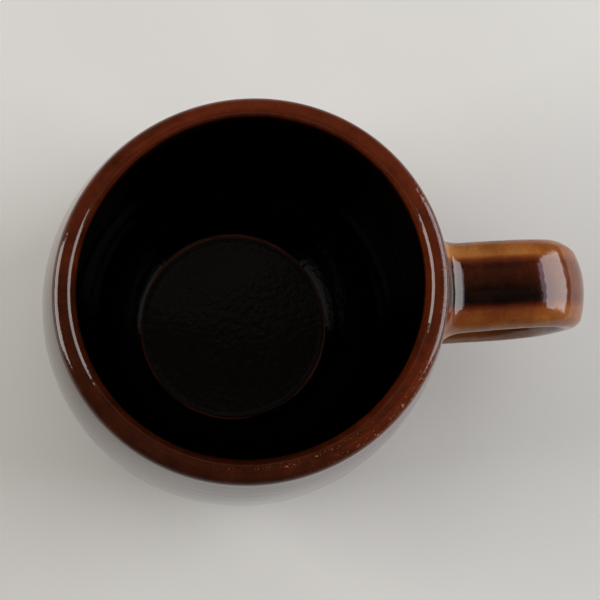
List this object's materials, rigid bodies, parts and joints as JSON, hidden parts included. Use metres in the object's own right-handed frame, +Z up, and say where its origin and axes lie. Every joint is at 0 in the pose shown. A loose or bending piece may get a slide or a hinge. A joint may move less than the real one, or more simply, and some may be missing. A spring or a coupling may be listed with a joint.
{
  "type": "mug",
  "caption": "Round-bottomed glazed stoneware mug with a barrel wall, a rounded lip, a trimmed foot ring and a wide strap handle.",
  "frame": {"origin": "centre of the foot ring, on the surface that the mug stands on", "axes": "+Z up along the mug's own axis, +X towards the handle"},
  "size_m": [0.1265, 0.0928, 0.09],
  "materials": {
    "bare_stoneware": "unglazed buff stoneware, slightly rough, with fine iron specks",
    "luting_slip": "fired slip of the same clay, matte",
    "brown_glaze": "glossy iron-brown glaze that breaks reddish on the lip",
    "liner_glaze": "glossy, nearly black-brown where it is thick inside",
    "amber_glaze": "glossy amber where the same glaze is thin, red-brown where it pools"
  },
  "bodies": {
    "root": {"cup_body": "bare_stoneware", "handle": "bare_stoneware", "upper_luting_slip": "luting_slip", "lower_luting_slip": "luting_slip", "outer_glaze": "brown_glaze", "liner_glaze": "liner_glaze", "handle_glaze": "amber_glaze"}
  },
  "joints": []
}
